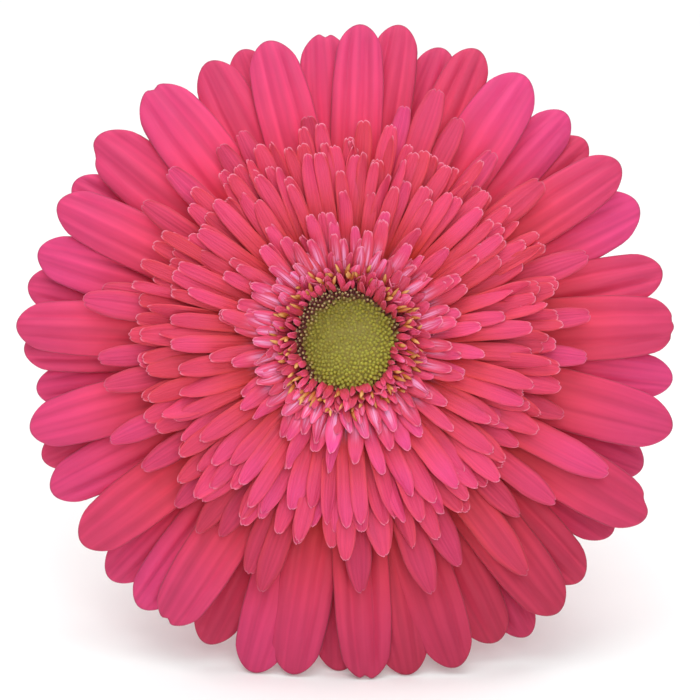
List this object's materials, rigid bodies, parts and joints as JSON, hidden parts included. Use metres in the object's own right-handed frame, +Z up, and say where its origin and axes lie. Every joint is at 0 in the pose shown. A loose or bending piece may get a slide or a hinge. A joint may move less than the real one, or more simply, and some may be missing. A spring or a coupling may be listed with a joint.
{
  "type": "cut gerbera",
  "caption": "Cut semi-double gerbera daisy lying on its leafless stem: pink ray petals in layers, rising inner petals and a green eye.",
  "frame": {"origin": "middle of the flower's outer box, on the surface it lies on", "axes": "+Z up, +Y along the stem from the bloom to the cut end, +X to the right as one faces the bloom"},
  "size_m": [0.1158, 0.2936, 0.1079],
  "materials": {
    "ray_petal": "soft satin petal with fine lengthwise veins",
    "inner_petal": "soft satin petal with a paler rim and root",
    "disc_floret": "dark red tubes with yellow anthers",
    "eye_bud": "matte green buds in spiral rows",
    "bract": "matte green, lightly haired",
    "stem": "satin green with fine ribs and down"
  },
  "bodies": {
    "root": {"ray_florets": "ray_petal", "inner_ligules": "inner_petal", "open_disc_florets": "disc_floret", "disc_eye": "eye_bud", "involucre": "bract", "stem": "stem"}
  },
  "joints": []
}
